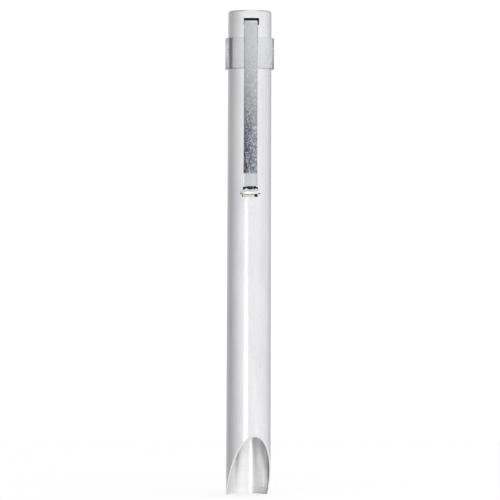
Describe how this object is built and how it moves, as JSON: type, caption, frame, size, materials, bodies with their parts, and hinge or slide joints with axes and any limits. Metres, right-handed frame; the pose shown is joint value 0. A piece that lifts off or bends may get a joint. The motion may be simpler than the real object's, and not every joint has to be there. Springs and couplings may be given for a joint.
{
  "type": "pen otoscope",
  "caption": "Slim pen-shaped metal otoscope with a slant-cut viewing mouth, a flat pocket clip that is also the switch, a clear ring under it, and cells and a lens lamp inside.",
  "frame": {"origin": "centre of the barrel's flat closed end", "axes": "+Z along the barrel, from the cut mouth to the closed end; the clip is on the -Y side"},
  "size_m": [0.0144, 0.0158, 0.142],
  "materials": {
    "satin_steel": "fine satin, drawn lengthways",
    "clip_steel": "galvanised spring strip, finely spangled",
    "clear_plastic": "clear, glossy",
    "black_plastic": "moulded",
    "spring_steel": "plated wire",
    "cell_can": "plated",
    "cell_cap": "plated",
    "cell_film": "printed film, unmarked",
    "card": "rolled kraft card",
    "nickel": "nickel plate",
    "brass": "bright",
    "black_glass": "fused black glass",
    "solder": "dull solder",
    "clear_glass": "clear",
    "tungsten": "drawn wire"
  },
  "bodies": {
    "barrel": {"barrel": "satin_steel", "rear_insulator_cup": "black_plastic", "battery_spring": "spring_steel", "cell_liner": "card"},
    "clip": {"pocket_clip": "clip_steel"},
    "ring": {"clip_spacer_ring": "clear_plastic"},
    "rear_cell": {"rear_cell_can": "cell_can", "rear_cell_seal": "black_plastic", "rear_cell_end_cap": "cell_cap", "rear_cell_label": "cell_film"},
    "front_cell": {"front_cell_can": "cell_can", "front_cell_seal": "black_plastic", "front_cell_end_cap": "cell_cap", "front_cell_label": "cell_film"},
    "holder": {"lamp_holder": "nickel", "contact_disc": "black_plastic", "contact_rivet": "brass"},
    "lamp": {"lamp_shell": "brass", "lamp_base_glass": "black_glass", "lamp_solder_tip": "solder", "lamp_glass": "clear_glass", "lamp_bead": "clear_glass", "lamp_lead_left": "nickel", "lamp_lead_right": "nickel", "lamp_filament": "tungsten"}
  },
  "joints": [
    {"name": "clip_press", "type": "hinge", "parent": "barrel", "child": "clip", "pos_m": [0, -0.00608, -0.00345], "axis": [1, 0, 0], "range_deg": [-2.5, 0.7], "stiffness_Nm_per_rad": 0.3},
    {"name": "ring_slide", "type": "slide", "parent": "barrel", "child": "ring", "axis": [0, 0, 1], "range_m": [-0.029, 0.003]},
    {"name": "holder_pull", "type": "slide", "parent": "barrel", "child": "holder", "axis": [0, 0, -1], "range_m": [0, 0.05]},
    {"name": "front_cell_follow", "type": "slide", "parent": "barrel", "child": "front_cell", "axis": [0, 0, -1], "range_m": [0, 0.05]},
    {"name": "rear_cell_follow", "type": "slide", "parent": "barrel", "child": "rear_cell", "axis": [0, 0, -1], "range_m": [0, 0.05]},
    {"name": "lamp_withdraw", "type": "slide", "parent": "holder", "child": "lamp", "axis": [0, 0, -1], "range_m": [0, 0.0095]}
  ],
  "couplings": [
    {"joint": "front_cell_follow", "follows": "holder_pull", "ratio": 1},
    {"joint": "rear_cell_follow", "follows": "holder_pull", "ratio": 1}
  ]
}
